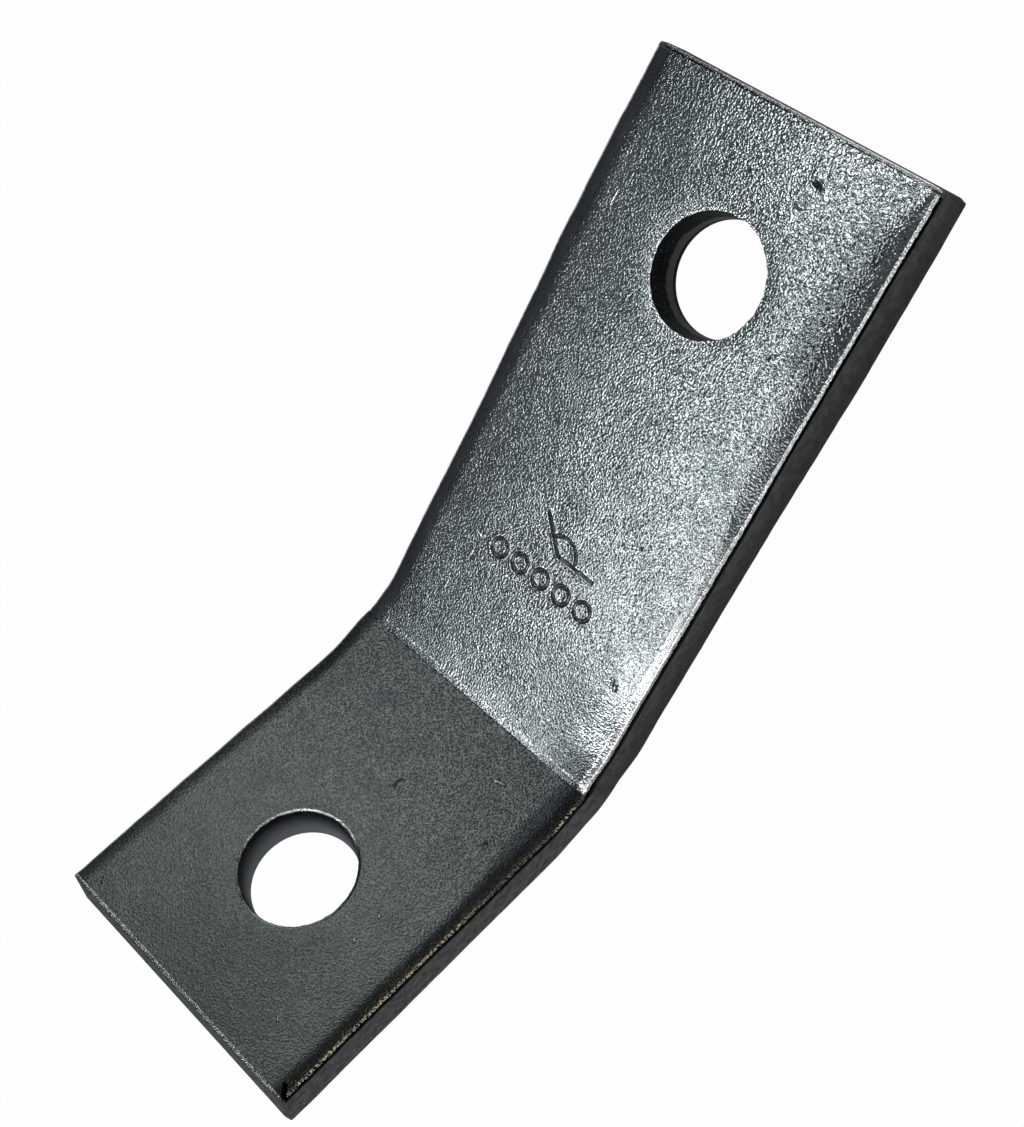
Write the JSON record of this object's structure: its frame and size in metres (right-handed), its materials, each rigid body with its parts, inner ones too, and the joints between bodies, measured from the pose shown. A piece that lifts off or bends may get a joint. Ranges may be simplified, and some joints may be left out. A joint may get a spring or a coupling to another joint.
{
  "type": "open-corner angle bracket",
  "caption": "Thick flat bar bent into an open-corner angle bracket, with a long and a short leg 135 degrees apart and a round bolt hole in each leg.",
  "frame": {"origin": "centre of the long leg's hole in that leg's outer face, which lies on Z = 0", "axes": "+X along the long leg towards the fold, +Y across the bar, +Z out of the long leg's inner face; the short leg rises from the fold towards +X and +Z"},
  "size_m": [0.1236, 0.042, 0.0427],
  "materials": {
    "stainless_steel": "tumbled stainless steel with a fine pebbled grain, darker sheared edges and small nicks"
  },
  "bodies": {
    "root": {"bracket": "stainless_steel"}
  },
  "joints": []
}
